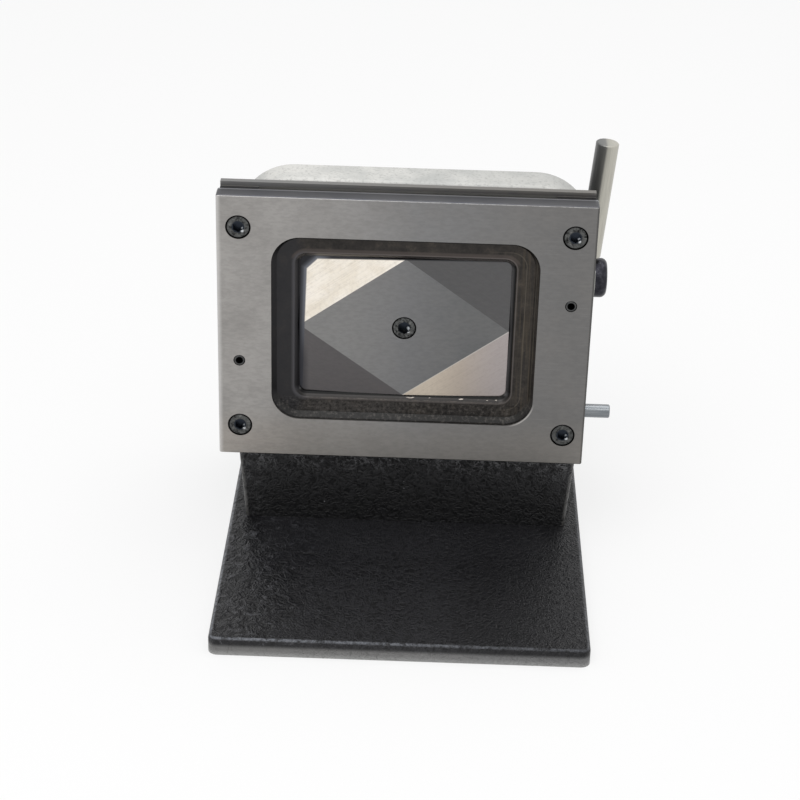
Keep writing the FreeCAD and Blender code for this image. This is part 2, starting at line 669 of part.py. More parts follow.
dowel_holes = new_sketch(punch, "XZ_Plane", negative(size("punch_length")))
for x, z in PUNCH_DOWELS:
    circle(dowel_holes, x, z, size("dowel_six"))
pocket(punch, dowel_holes, plus(half(size("punch_dowel_length")), size("bottom_gap")), reverse=True)

# ---------------------------------------------------------------- bearings for the shaft
COVER_SCREW_YS = [plus(WALL_REAR_Y, size("cover_screw_inset")),
                  minus(REAR_Y, size("cover_screw_inset"))]
COVER_SCREW_Z = plus(SHOULDER_Z, size("cover_screw_inset"))
COVER_THREAD = plus(minus(size("cover_screw_length"), size("cover_thickness")),
                    size("bottom_gap"))
BLOCK_X = half(plus(BEARING_IN, BEARING_OUT))
FLOOR_Z, REAR_AT = minus(SHOULDER_Z, AXIS_Z), minus(REAR_Y, SHAFT_Y)


def ring(body, plane, offset, outer, inner, length, reverse=False):
    """A pad between two circles round the body's own axis."""
    sketch = new_sketch(body, plane, offset)
    circle(sketch, "0", "0", outer)
    circle(sketch, "0", "0", inner)
    return pad(body, sketch, length, reverse)


for side, name in ((-1, "left"), (1, "right")):
    block = place(new_body("bearing_block_" + name), y=SHAFT_Y, z=AXIS_Z)
    outline = new_sketch(block, "YZ_Plane", signed(side, BEARING_IN))
    rectangle(outline, minus(WALL_REAR_Y, SHAFT_Y), FLOOR_Z, REAR_AT, BEARING_TOP)
    circle(outline, "0", "0", double(BUSH_RADIUS))
    solid = pad(block, outline, size("bearing_thickness"), reverse=side < 0)

    def rear_top(edge):
        box = edge.BoundBox
        return abs(box.YMin - number(REAR_AT)) < 0.001 and box.ZMin > number(BEARING_TOP) - 0.001

    dress(block, "Chamfer", solid, size("cover_bend"), rear_top)
    for plane, offset, places, diameter, depth, upward in (
            ("XY_Plane", FLOOR_Z,
             [(BEARING_BOLT_X, minus(y, SHAFT_Y)) for y in BEARING_BOLT_YS],
             "screw_five", size("bearing_bolt_front"), True),
            ("XY_Plane", BEARING_TOP,
             [(BLOCK_X, minus(y, SHAFT_Y)) for y in COVER_SCREW_YS],
             "screw_four", COVER_THREAD, False),
            ("XZ_Plane", negative(REAR_AT),
             [(BLOCK_X, minus(COVER_SCREW_Z, AXIS_Z))], "screw_four", COVER_THREAD, True)):
        sketch = new_sketch(block, plane, offset)
        for x, y in places:
            circle(sketch, signed(side, x), y, size(diameter))
        pocket(block, sketch, depth, reverse=upward)

    bush = place(new_body("shaft_bush_" + name), y=SHAFT_Y, z=AXIS_Z)
    bore = plus(size("journal_diameter"), double(size("running_fit")))
    ring(bush, "YZ_Plane", signed(side, BEARING_IN), double(BUSH_RADIUS), bore,
         size("bearing_thickness"), reverse=side < 0)
    ring(bush, "YZ_Plane", signed(side, BEARING_OUT), size("flange_diameter"), bore,
         size("bush_flange"), reverse=side < 0)

    keep(place(pin("Post_" + name, size("post_diameter"), size("post_length")),
               plus(DIE_X, signed(side, POST_X)), minus(WALL_REAR_Y, size("post_depth")),
               minus(AXIS_Z, size("post_drop")), TO_FRONT), "guide_post_" + name)

# ---------------------------------------------------------------- rear cover
# its front edge stands clear of the punch at the end of the punch's travel
cover = place(new_body("rear_cover"), y=SHAFT_Y, z=AXIS_Z)
outline = new_sketch(cover, "YZ_Plane", negative(BEARING_OUT))
COVER_FRONT = minus(larger(plus(WALL_REAR_Y, size("cover_gap")),
                           plus(RAM_Y, size("stroke"), size("punch_clearance"))), SHAFT_Y)
COVER_FOOT = plus(FLOOR_Z, size("cover_gap"))
COVER_TOP = plus(BEARING_TOP, size("cover_thickness"))
COVER_BACK = plus(REAR_AT, size("cover_thickness"))
polygon(outline, [
    (COVER_FRONT, BEARING_TOP), (REAR_AT, BEARING_TOP), (REAR_AT, COVER_FOOT),
    (COVER_BACK, COVER_FOOT), (COVER_BACK, COVER_TOP), (COVER_FRONT, COVER_TOP)])
folded = pad(cover, outline, double(BEARING_OUT))


def at_corner(y, z):
    """A test for the long edge that passes through one place."""
    def test(edge):
        box = edge.BoundBox
        return abs(box.Center.y - y) + abs(box.Center.z - z) < 0.01 and box.XLength > number(BODY_HALF)
    return test


bent = dress(cover, "Fillet", folded, size("cover_bend"),
             at_corner(number(COVER_BACK), number(COVER_TOP)))
dress(cover, "Fillet", bent, minus(size("cover_bend"), size("cover_thickness")),
      at_corner(number(REAR_AT), number(BEARING_TOP)))
for plane, offset, places, upward in (
        ("XY_Plane", COVER_TOP, [minus(y, SHAFT_Y) for y in COVER_SCREW_YS], False),
        ("XZ_Plane", negative(COVER_BACK), [minus(COVER_SCREW_Z, AXIS_Z)], True)):
    sketch = new_sketch(cover, plane, offset)
    for along in places:
        for side in (-1, 1):
            circle(sketch, signed(side, BLOCK_X), along, clear_hole("screw_four"))
    pocket(cover, sketch, size("cover_thickness"), reverse=upward)

# ---------------------------------------------------------------- eccentric shaft and sleeve
SHAFT_LEFT = negative(plus(BOSS_X, size("collar_width")))
shaft = place(new_body("eccentric_shaft"), y=SHAFT_Y, z=AXIS_Z)
outline = new_sketch(shaft, "YZ_Plane", SHAFT_LEFT)
circle(outline, "0", "0", size("journal_diameter"))
SHAFT_RIGHT = minus(BOSS_OUT, size("end_float"))
pad(shaft, outline, minus(SHAFT_RIGHT, SHAFT_LEFT))
ECCENTRIC_X = minus(DIE_X, half(size("eccentric_length")))
outline = new_sketch(shaft, "YZ_Plane", ECCENTRIC_X)
circle(outline, ECCENTRIC_Y, ECCENTRIC_Z, size("eccentric_diameter"))
pad(shaft, outline, size("eccentric_length"))
flats = new_sketch(shaft, "YZ_Plane", SHAFT_RIGHT)
for side in (-1, 1):
    rectangle(flats, signed(side, half(size("key_flats"))), negative(size("journal_diameter")),
              signed(side, size("journal_diameter")), size("journal_diameter"))
pocket(shaft, flats, minus(SHAFT_RIGHT, BOSS_X))
tapped = new_sketch(shaft, "YZ_Plane", SHAFT_RIGHT)
circle(tapped, "0", "0", size("screw_ten"))
pocket(shaft, tapped, size("lever_bolt_length"))

sleeve = place(new_body("eccentric_sleeve"), DIE_X,
               plus(SHAFT_Y, ECCENTRIC_Y), plus(AXIS_Z, ECCENTRIC_Z))
ring(sleeve, "YZ_Plane", negative(half(size("eccentric_length"))), double(SLEEVE_RADIUS),
     plus(size("eccentric_diameter"), double(size("running_fit"))),
     size("eccentric_length"))

collar = place(new_body("shaft_collar"), y=SHAFT_Y, z=AXIS_Z)
ring(collar, "YZ_Plane", SHAFT_LEFT, size("collar_diameter"), size("journal_diameter"),
     size("collar_width"))
COLLAR_MIDDLE = plus(SHAFT_LEFT, half(size("collar_width")))
radial = new_sketch(collar, "XY_Plane")
circle(radial, COLLAR_MIDDLE, "0", size("screw_five"))
pocket(collar, radial, half(size("collar_diameter")), reverse=True)
grub = pin("Collar_screw", size("screw_five"), size("collar_screw_length"))
cut_hexagon(grub, size("socket_small"), half(size("collar_screw_length")))
keep(place(grub, COLLAR_MIDDLE, SHAFT_Y, plus(
    AXIS_Z, half(size("journal_diameter")), size("collar_screw_length"))), "collar_screw")

# ---------------------------------------------------------------- lever, washer and bolt
boss = doc.addObject("Part::Cylinder", "Lever_boss")
boss.setExpression("Radius", half(size("boss_diameter")))
boss.setExpression("Height", size("boss_thickness"))
place(boss, BOSS_X, rotation=TO_RIGHT)
LEAN = "(" + size("lean_angle") + " * 1 deg)"
rod = pin("Lever_rod", size("lever_diameter"), minus(size("lever_length"), size("lever_start")))
place(rod, plus(BEARING_OUT, size("bush_flange"), size("lever_offset"),
                "(" + size("lever_length") + " * tan" + LEAN + ")"),
      z=size("lever_length"), rotation=Rotation(Vector(0, 1, 0), number(size("lean_angle"))))
rod.setExpression("Placement.Rotation.Angle", LEAN)


def box(name, width, depth, height, x, y, z):
    """A plain block from its lowest corner."""
    item = doc.addObject("Part::Box", name)
    for side, length in (("Length", width), ("Width", depth), ("Height", height)):
        item.setExpression(side, length)
    return place(item, x, y, z)


def combine(kind, name, base_item, tool):
    item = doc.addObject("Part::" + kind, name)
    item.Base, item.Tool = base_item, tool
    return item


# the rod's inner side is milled flat, to pass the bearing flange and the plates
flat_x = plus(BOSS_X, size("end_float"))
rod_flat = box("Lever_rod_flat", BOSS_X, size("boss_diameter"), size("lever_length"),
               minus(flat_x, BOSS_X), negative(half(size("boss_diameter"))), "0")
milled = combine("Cut", "Lever_rod_milled", rod, rod_flat)
blank = combine("Fuse", "Lever_blank", boss, milled)
# the keyed hole: a round bar with two flats
bar = doc.addObject("Part::Cylinder", "Lever_hole_bar")
bar.setExpression("Radius", half(size("journal_diameter")))
bar.setExpression("Height", plus(size("boss_thickness"), "1"))
place(bar, minus(BOSS_X, half("1")), rotation=TO_RIGHT)
flats_box = box("Lever_hole_flats", plus(size("boss_thickness"), "2"), size("key_flats"),
                size("journal_diameter"), minus(BOSS_X, "1"), negative(half(size("key_flats"))),
                negative(half(size("journal_diameter"))))
keyed = combine("Common", "Lever_keyed_hole", bar, flats_box)
keep(place(combine("Cut", "Lever", blank, keyed), y=SHAFT_Y, z=AXIS_Z), "lever")

washer = place(new_body("lever_washer"), y=SHAFT_Y, z=AXIS_Z)
ring(washer, "YZ_Plane", BOSS_OUT, size("washer_diameter"), clear_hole("screw_ten"),
     size("washer_thickness"))
keep(place(button_screw("Lever_bolt", "screw_ten", size("lever_bolt_length"),
                        size("socket_six")),
           BOLT_X, SHAFT_Y, AXIS_Z, TO_RIGHT), "lever_bolt")

# ---------------------------------------------------------------- ram, bushes and keeper
ram = place(new_body("ram_block"), DIE_X, SHAFT_Y, AXIS_Z)
RAM_FRONT = minus(RAM_Y, SHAFT_Y)
RAM_BACK = plus(ECCENTRIC_Y, YOKE_HALF, size("yoke_rear_wall"))
YOKE_FRONT, YOKE_BACK = minus(ECCENTRIC_Y, YOKE_HALF), plus(ECCENTRIC_Y, YOKE_HALF)
RAM_TOP, RAM_BOTTOM = size("ram_top"), minus(size("ram_clearance"), CARD_HALF_Z)
YOKE_FLOOR = negative(size("yoke_floor"))
outline = new_sketch(ram, "YZ_Plane", negative(RAM_HALF))
polygon(outline, [
    (RAM_FRONT, RAM_BOTTOM), (RAM_BACK, RAM_BOTTOM), (RAM_BACK, RAM_TOP), (YOKE_BACK, RAM_TOP),
    (YOKE_BACK, YOKE_FLOOR), (YOKE_FRONT, YOKE_FLOOR), (YOKE_FRONT, RAM_TOP),
    (RAM_FRONT, RAM_TOP)])
pad(ram, outline, double(RAM_HALF))
EAR_LOW = minus(negative(size("post_drop")), EAR_REACH)
EAR_HIGH = minus(EAR_REACH, size("post_drop"))
POST_Z = negative(size("post_drop"))
for side in (-1, 1):
    ear = new_sketch(ram, "XZ_Plane", size("ear_setback"))
    rectangle(ear, signed(side, minus(RAM_HALF, size("ear_root"))), EAR_LOW,
              signed(side, plus(POST_X, EAR_REACH)), EAR_HIGH)
    pad(ram, ear, size("ear_length"), reverse=True)
bores = new_sketch(ram, "XZ_Plane", size("ear_setback"))
for side in (-1, 1):
    circle(bores, signed(side, POST_X), POST_Z, double(RAM_BUSH_RADIUS))
pocket(ram, bores, size("ear_length"))
tapped = new_sketch(ram, "XZ_Plane", negative(RAM_FRONT))
circle(tapped, "0", "0", size("screw_six"))
pocket(ram, tapped, plus(minus(size("punch_screw_length"), size("punch_length")),
                         size("screw_six"), size("head_sink"), size("bottom_gap")))
dowel_holes = new_sketch(ram, "XZ_Plane", negative(RAM_FRONT))
for x, z in PUNCH_DOWELS:
    circle(dowel_holes, x, z, size("dowel_six"))
pocket(ram, dowel_holes, plus(half(size("punch_dowel_length")), size("bottom_gap")))
KEEPER_SCREWS = [(signed(side, minus(RAM_HALF, size("keeper_screw_inset"))), y)
                 for y in (half(plus(RAM_FRONT, YOKE_FRONT)), half(plus(YOKE_BACK, RAM_BACK)))
                 for side in (-1, 1)]
threads = new_sketch(ram, "XY_Plane", RAM_TOP)
for x, y in KEEPER_SCREWS:
    circle(threads, x, y, size("screw_four"))
pocket(ram, threads, plus(minus(size("keeper_screw_length"), size("keeper_thickness")),
                          size("bottom_gap")))

for side, name in ((-1, "left"), (1, "right")):
    ram_bush = place(new_body("ram_bush_" + name), plus(DIE_X, signed(side, POST_X)),
                     SHAFT_Y, minus(AXIS_Z, size("post_drop")))
    ring(ram_bush, "XZ_Plane", size("ear_setback"), double(RAM_BUSH_RADIUS),
         plus(size("post_diameter"), double(size("running_fit"))),
         size("ear_length"), reverse=True)

keeper = place(new_body("yoke_keeper"), DIE_X, SHAFT_Y, AXIS_Z)
outline = new_sketch(keeper, "XY_Plane", RAM_TOP)
rectangle(outline, negative(RAM_HALF), RAM_FRONT, RAM_HALF, RAM_BACK)
pad(keeper, outline, size("keeper_thickness"))
sketch = new_sketch(keeper, "XY_Plane", KEEPER_TOP)
for x, y in KEEPER_SCREWS:
    circle(sketch, x, y, clear_hole("screw_four"))
drilled = pocket(keeper, sketch, size("keeper_thickness"))
sink(keeper, drilled, "Z", number(KEEPER_TOP), "screw_four")

# ---------------------------------------------------------------- screws and dowels
group("base_screws", flat_screw("Base_screw", "screw_six", size("base_screw_length"),
                                size("socket_four")),
      [(TO_BELOW, [(x, y, size("head_sink")) for x, y in base_screw_places])])
group("mount_screws", flat_screw("Mount_screw", "screw_six", size("mount_screw_length"),
                                 size("socket_four")),
      [(TO_FRONT, [(plus(DIE_X, x), plus(MOUNT_Y, size("head_sink")), plus(AXIS_Z, z))
                   for x, z in MOUNT_SCREWS])])
group("die_screws", cap_screw("Die_screw", "screw_six", size("die_screw_length"),
                              size("low_head"), size("socket_four")),
      [(TO_FRONT, [(plus(DIE_X, x), plus(DIE_Y, size("head_sink")), plus(AXIS_Z, z))
                   for x, z in DIE_SCREWS])])
group("die_dowels", pin("Die_dowel", size("dowel_five"), size("dowel_length"),
                        size("dowel_bore")),
      [(TO_FRONT, [(plus(DIE_X, x), DIE_Y, plus(AXIS_Z, z)) for x, z in DIE_DOWELS])])
group("bearing_bolts", cap_screw("Bearing_bolt", "screw_five", size("bearing_bolt_length"),
                                 size("screw_five"), size("socket_four")),
      [(TO_BELOW, [(x, y, plus(BASE_TOP, size("bolt_recess"), negative(size("screw_five"))))
                   for x, y in bearing_bolt_places])])
group("cover_screws", button_screw("Cover_screw", "screw_four", size("cover_screw_length"),
                                   size("socket_small")),
      [(UPWARD, [(signed(side, BLOCK_X), y, plus(COVER_Z, size("cover_thickness")))
                 for y in COVER_SCREW_YS for side in (-1, 1)]),
       (TO_BACK, [(signed(side, BLOCK_X), plus(REAR_Y, size("cover_thickness")), COVER_SCREW_Z)
                  for side in (-1, 1)])])
group("keeper_screws", flat_screw("Keeper_screw", "screw_four", size("keeper_screw_length"),
                                  size("socket_small")),
      [(UPWARD, [(plus(DIE_X, x), plus(SHAFT_Y, y),
                  minus(plus(AXIS_Z, KEEPER_TOP), size("head_sink")))
                 for x, y in KEEPER_SCREWS])])
group("punch_dowels", pin("Punch_dowel", size("dowel_six"), size("punch_dowel_length")),
      [(TO_FRONT, [(plus(DIE_X, x), minus(RAM_Y, half(size("punch_dowel_length"))), AXIS_Z)
                   for x, z in PUNCH_DOWELS])])
keep(place(cap_screw("Punch_screw", "screw_six", size("punch_screw_length"), size("screw_six"),
                     size("socket_five")),
           DIE_X, plus(PUNCH_Y, size("head_sink")), AXIS_Z, TO_FRONT), "punch_screw")
keep(place(pin("Stop_pin", size("stop_diameter"), plus(size("stop_stickout"), size("stop_depth"))),
           plus(BODY_HALF, size("stop_stickout")), STOP_Y, STOP_Z, TO_RIGHT), "lever_stop_pin")

# ---------------------------------------------------------------- check and write
doc.recompute()
for item in doc.Objects:
    if "Invalid" in item.State or "Error" in item.State:
        raise RuntimeError("%s did not compute: %s" % (item.Label, item.State))
os.makedirs("parts", exist_ok=True)
for node in nodes:
    if node.Shape.isNull() or not node.Shape.isValid():
        raise RuntimeError("%s has no valid shape" % node.Label)
    node.Shape.exportStep("parts/" + node.Label + ".step")
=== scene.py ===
import math

import bmesh
import bpy
from mathutils import Matrix, Vector

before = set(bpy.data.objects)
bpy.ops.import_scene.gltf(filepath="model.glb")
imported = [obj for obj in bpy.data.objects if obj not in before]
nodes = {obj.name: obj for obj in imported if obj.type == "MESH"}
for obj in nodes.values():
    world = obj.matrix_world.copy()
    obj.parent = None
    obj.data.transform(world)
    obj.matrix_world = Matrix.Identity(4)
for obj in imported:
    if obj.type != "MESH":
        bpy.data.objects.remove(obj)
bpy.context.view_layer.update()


# The base plate: 8 mm steel with a rounded upper edge, screwed to the pedestal from below and
# coated with black stove paint. The paint dried in fine wrinkles, which swell to worms on the
# left. A bluish painted highlight runs along the rounded edge, and the sides are lighter grey low
# down, palest next to the bench.
class Field:
    """A value that changes over a surface; maths on it adds Math nodes to its tree."""

    def __init__(self, patterns, socket):
        self.patterns = patterns
        self.socket = socket

    def math(self, operation, first, second=0.0):
        return self.patterns.node("ShaderNodeMath", {"operation": operation},
                                  {0: first, 1: second})

    def __add__(self, other):
        return self.math("ADD", self, other)

    def __sub__(self, other):
        return self.math("SUBTRACT", self, other)

    def __rsub__(self, other):
        return self.math("SUBTRACT", other, self)

    def __mul__(self, other):
        return self.math("MULTIPLY", self, other)

    def __abs__(self):
        return self.math("ABSOLUTE", self)

    __radd__ = __add__
    __rmul__ = __mul__

    def at_least(self, other):
        return self.math("MAXIMUM", self, other)

    def at_most(self, other):
        return self.math("MINIMUM", self, other)

    def sign(self):
        return self.math("SIGN", self)

    def root(self):
        return self.math("SQRT", self)

    def rise(self, low, high):
        """0 at low, 1 at high and smooth between; with low the larger, it falls instead."""
        start, end = (0.0, 1.0) if low < high else (1.0, 0.0)
        return self.patterns.node(
            "ShaderNodeMapRange", {"interpolation_type": "SMOOTHSTEP"},
            {"Value": self, "From Min": min(low, high), "From Max": max(low, high),
             "To Min": start, "To Max": end})

    def line(self, at, half_width):
        """1 where the value is at a place, and 0 a half width away from it."""
        return abs(self - at).rise(half_width, 0.0)


class Patterns:
    """A node tree, whose new nodes all come from one method."""

    def __init__(self, tree):
        self.tree = tree

    def node(self, kind, settings, sockets, output=0):
        """One node: its settings, such as a ramp's stops, then its sockets' values or links."""
        made = self.tree.nodes.new(kind)
        for name, value in settings.items():
            if name == "stops":
                stops = made.color_ramp.elements
                while len(stops) < len(value):
                    stops.new(0.5)
                for stop, (position, colour) in zip(stops, value):
                    stop.position = position
                    stop.color = (*colour, 1.0)
            else:
                setattr(made, name, value)
        for name, value in sockets.items():
            if isinstance(value, Field):
                self.tree.links.new(value.socket, made.inputs[name])
            else:
                made.inputs[name].default_value = value
        return Field(self, made.outputs[output])


class Finish(Patterns):
    """A material for this machine, with its principled shader and the patterns it uses."""

    def __init__(self, name, **uniform):
        self.material = bpy.data.materials.new(name)
        self.material.use_nodes = True
        super().__init__(self.material.node_tree)
        self.shader = self.tree.nodes["Principled BSDF"]
        for socket, value in uniform.items():
            self.shader.inputs[socket.replace("_", " ")].default_value = value
        self.place = self.node("ShaderNodeTexCoord", {}, {}, "Object")
        self.x, self.y, self.z = (
            self.node("ShaderNodeSeparateXYZ", {}, {0: self.place}, axis) for axis in "XYZ")

    def feed(self, **fields):
        for socket, value in fields.items():
            self.tree.links.new(value.socket, self.shader.inputs[socket.replace("_", " ")])

    def blend(self, factor, first, second):
        """A colour between two colours, each a field or three numbers."""
        first, second = (colour if isinstance(colour, Field) else (*colour, 1.0)
                         for colour in (first, second))
        # A Mix node keeps its two colours in sockets 6 and 7, and gives their mix in output 2.
        return self.node("ShaderNodeMix", {"data_type": "RGBA"},
                         {0: factor, 6: first, 7: second}, 2)

    def layered(self, colour, *layers):
        """A colour under layers, each given as how far it covers and its own colour."""
        for cover, layer in layers:
            colour = self.blend(cover, colour, layer)
        return colour

    def ramp(self, factor, *stops):
        """A colour that runs through several, each given with its place from 0 to 1."""
        return self.node("ShaderNodeValToRGB", {"stops": stops}, {"Fac": factor}, "Color")

    def noise(self, scale, detail=2.0, roughness=0.5, place=None, distortion=0.0):
        return self.node("ShaderNodeTexNoise", {}, {
            "Vector": place or self.place, "Scale": scale, "Detail": detail,
            "Roughness": roughness, "Distortion": distortion}, "Fac")

    def streaks(self, scales, detail=3.0, roughness=0.6, turn=(0.0, 0.0, 0.0)):
        """Noise with a scale for each axis, turned first: it runs along the smallest scale."""
        turned = self.node("ShaderNodeMapping", {"vector_type": "POINT"}, {
            "Vector": self.place, "Rotation": turn})
        stretched = self.node("ShaderNodeMapping", {"vector_type": "POINT"}, {
            "Vector": turned, "Scale": scales})
        return self.noise(1.0, detail, roughness, stretched)

    def bump(self, height, distance, strength=1.0):
        return self.node("ShaderNodeBump", {}, {
            "Height": height, "Distance": distance, "Strength": strength}, "Normal")

    def dress(self, *names):
        """Puts this finish on CAD nodes."""
        for name in names:
            mesh = nodes[name].data
            mesh.materials.clear()
            mesh.materials.append(self.material)


def limits(name):
    """A CAD node's smallest and largest X, Y and Z."""
    return [(min(values), max(values))
            for values in zip(*(vertex.co for vertex in nodes[name].data.vertices))]


def off_axis(first, second):
    """The distance from an axis, given how far off it a point is in two directions."""
    return (first * first + second * second).root()


def outside(first, second, width, height, corner):
    """The distance outside a rounded rectangle round the fields' zeros, below 0 inside it."""
    beyond_first = abs(first) - (width / 2 - corner)
    beyond_second = abs(second) - (height / 2 - corner)
    away = off_axis(beyond_first.at_least(0.0), beyond_second.at_least(0.0))
    return away + beyond_first.at_least(beyond_second).at_most(0.0) - corner


def wrinkles(paint, width):
    """The ridges of dried stove paint, about one width apart: 1 on a ridge, 0 in a hollow."""
    swirl = paint.noise(0.50 / width, 2.0, 0.55, distortion=0.9)
    grains = paint.noise(1.6 / width, 2.0, 0.6)
    return abs(swirl - 0.5).rise(0.13, 0.0) * 0.65 + grains.rise(0.35, 0.75) * 0.35


def paint_gloss(ridges):
    """The roughness of stove paint, which shines most on its ridges."""
    return 0.42 - ridges * 0.16


def coat(paint, ridges, height, hollow=(0.0060, 0.0060, 0.0066), ridge=(0.024, 0.024, 0.027)):
    """Lays the black coat over its ridges, and gives its colour, to be rubbed further. The ridges
    are painted lighter and the hollows darker, as highlight and shade on the wrinkles.
    """
    paint.feed(Normal=paint.bump(ridges, height), Roughness=paint_gloss(ridges))
    return paint.blend(ridges, hollow, ridge)


(plate_left, plate_right), (plate_front, plate_back), _ = limits("base_plate")
PLATE_CORNER = 0.004
WRINKLE_WIDTH = 0.0013

plate_paint = Finish("black_wrinkle_plate", Specular_IOR_Level=0.26)
curls = abs(plate_paint.noise(180.0, 3.0, 0.62, distortion=0.6) - 0.5)
patches = plate_paint.noise(60.0, 2.0, 0.5)
swollen = (plate_paint.x + (patches - 0.5) * 0.06).rise(-0.020, -0.052)
ridges = (wrinkles(plate_paint, WRINKLE_WIDTH) * (1.0 - swollen * 0.6)
          + curls.rise(0.16, 0.0) * swollen * 0.6)
# Painted glints: light lines along the crests of the swollen worms.
crest_glints = curls.rise(0.034, 0.006) * plate_paint.noise(300.0, 3.0, 0.6).rise(0.46, 0.62)
# Painted shade: the right of the top is darker.
shade_to_the_right = plate_paint.x.rise(0.010, 0.040)
# Painted light: the top is lighter just in front of the pedestal's foot.
light_by_the_foot = plate_paint.y.rise(-0.045, -0.012) * abs(plate_paint.x).rise(0.066, 0.058)
rim = outside(plate_paint.x, plate_paint.y, plate_right - plate_left,
              plate_back - plate_front, PLATE_CORNER)
# Painted highlight: bluish grey along the rounded edge, broken up and strongest on the left.
rounding = rim.rise(-0.0017, -0.0011) * rim.rise(-0.0002, -0.0007)
broken = plate_paint.noise(520.0, 3.0, 0.65).rise(0.30, 0.62)
highlight_to_left = plate_paint.x.rise(0.070, -0.050) * 0.45 + 0.35
# The sides are lighter grey low down, palest next to the bench.
low_side = rim.rise(-0.0004, -0.0001) * plate_paint.z.rise(0.0056, 0.0032)
side_grey = plate_paint.ramp(plate_paint.x.rise(-0.075, 0.070) * 0.9 + patches * 0.1,
                             (0.0, (0.165, 0.163, 0.160)), (0.6, (0.190, 0.188, 0.186)),
                             (1.0, (0.165, 0.165, 0.166)))
near_bench = plate_paint.z.rise(0.0030, -0.0004)
side_grey = plate_paint.blend(near_bench * 0.75, side_grey, (0.420, 0.420, 0.415))
black = coat(plate_paint, ridges, height=0.00044)
plate_paint.feed(Base_Color=plate_paint.layered(
    black,
    (swollen * 0.65, (0.007, 0.007, 0.008)),
    (crest_glints * swollen * swollen * 0.55, (0.104, 0.105, 0.114)),
    (shade_to_the_right * 0.7, (0.005, 0.005, 0.006)),
    (light_by_the_foot * 0.25, (0.040, 0.040, 0.044)),
    (rounding * broken * highlight_to_left, (0.170, 0.178, 0.200)),
    (low_side * 0.9, side_grey)))
plate_paint.dress("base_plate")


# The casting: an iron pedestal that flares to a shoulder, with a wall above it, in the same
# paint. It carries painted shade low on the pedestal, and painted highlights on its front edges
# and on the worms under the shoulder. The wall's rim is machined after painting, so its top and
# its rounded corners are bare, pale iron.
_, (casting_front, _), _ = limits("body_casting")
BARE_FROM, BARE_TO = 0.1437, 0.1452
HALF_WIDTH_AT_BENCH, FLARE = 0.0708, 0.082

casting_paint = Finish("black_wrinkle_casting", Specular_IOR_Level=0.30)
bare = casting_paint.z.rise(BARE_FROM, BARE_TO)
ridges = wrinkles(casting_paint, WRINKLE_WIDTH) * (1.0 - bare)
# Painted shade: the pedestal is darker near its foot.
shade_near_foot = casting_paint.z.rise(0.036, 0.014)
# Painted glints on the worms under the shoulder and down the left side.
worms = abs(casting_paint.noise(300.0, 3.0, 0.6, distortion=0.7) - 0.5).rise(0.060, 0.012)
lit = casting_paint.noise(240.0, 2.0, 0.5).rise(0.38, 0.60)
on_front = casting_paint.y.rise(casting_front + 0.0025, casting_front + 0.0005)
under_shoulder = casting_paint.z.rise(0.028, 0.044) * on_front
left_side = casting_paint.x.rise(-0.060, -0.068) * 0.25
side_at = casting_paint.z * FLARE + HALF_WIDTH_AT_BENCH
# Painted highlight, broken up, on the pedestal's front edges.
front_edge = ((abs(casting_paint.x) - side_at).rise(-0.0019, -0.0008)
              * casting_paint.y.rise(casting_front + 0.0023, casting_front + 0.0011))
edge_highlight_breaks = casting_paint.noise(420.0, 2.0, 0.6).rise(0.30, 0.55)
specks = casting_paint.noise(620.0, 0.0, 0.0).rise(0.865, 0.885)
black = coat(casting_paint, ridges, 0.00030, hollow=(0.0028, 0.0028, 0.0032),
             ridge=(0.030, 0.030, 0.032))
black = casting_paint.layered(
    black,
    (shade_near_foot * 0.75, (0.0022, 0.0022, 0.0025)),
    (worms * lit * under_shoulder.at_least(left_side) * 0.7, (0.200, 0.200, 0.208)),
    (front_edge * edge_highlight_breaks * 0.7, (0.085, 0.083, 0.080)),
    (specks, (0.16, 0.16, 0.17)))
clouds = casting_paint.noise(38.0, 3.0, 0.55).rise(0.35, 0.65)
pitted = casting_paint.noise(800.0, 3.0, 0.6)
scuffs = casting_paint.streaks((70.0, 700.0, 700.0), turn=(0.0, 0.0, 0.35))
iron = casting_paint.layered(
    casting_paint.blend(clouds, (0.49, 0.495, 0.48), (0.64, 0.635, 0.61)),
    (casting_paint.x.rise(-0.010, 0.060) * 0.5, (0.44, 0.44, 0.425)),
    (pitted.rise(0.50, 0.72) * 0.4, (0.24, 0.24, 0.235)),
    (scuffs.rise(0.60, 0.78) * 0.5, (0.28, 0.28, 0.27)))
casting_paint.feed(Base_Color=casting_paint.blend(bare, black, iron), Metallic=bare * 0.6,
                   Roughness=paint_gloss(ridges) + bare * 0.23)
casting_paint.dress("body_casting")

# Bearing blocks: iron blocks that carry the shaft, held on the pedestal by bolts from below.
# They are painted with the casting, but less thickly.
block_paint = Finish("black_wrinkle_blocks", Specular_IOR_Level=0.30)
ridges = wrinkles(block_paint, width=0.0012)
block_paint.feed(Base_Color=coat(block_paint, ridges, height=0.00018))
block_paint.dress("bearing_block_left", "bearing_block_right")

# Rear cover: steel sheet, folded over the mechanism and held by six button screws. It has
# one even, finer coat of black, scratched where it is handled.
cover_paint = Finish("black_cover_paint", Specular_IOR_Level=0.35)
scratches = cover_paint.streaks((30.0, 900.0, 900.0), 2.0, 0.5, turn=(0.3, 0.5, 0.2))
ridges = wrinkles(cover_paint, width=0.0007)
black = coat(cover_paint, ridges, 0.00006, hollow=(0.0085, 0.0085, 0.0090),
             ridge=(0.020, 0.020, 0.022))
cover_paint.feed(Base_Color=cover_paint.blend(scratches.rise(0.70, 0.78) * 0.5, black,
                                              (0.09, 0.09, 0.09)))
cover_paint.dress("rear_cover")


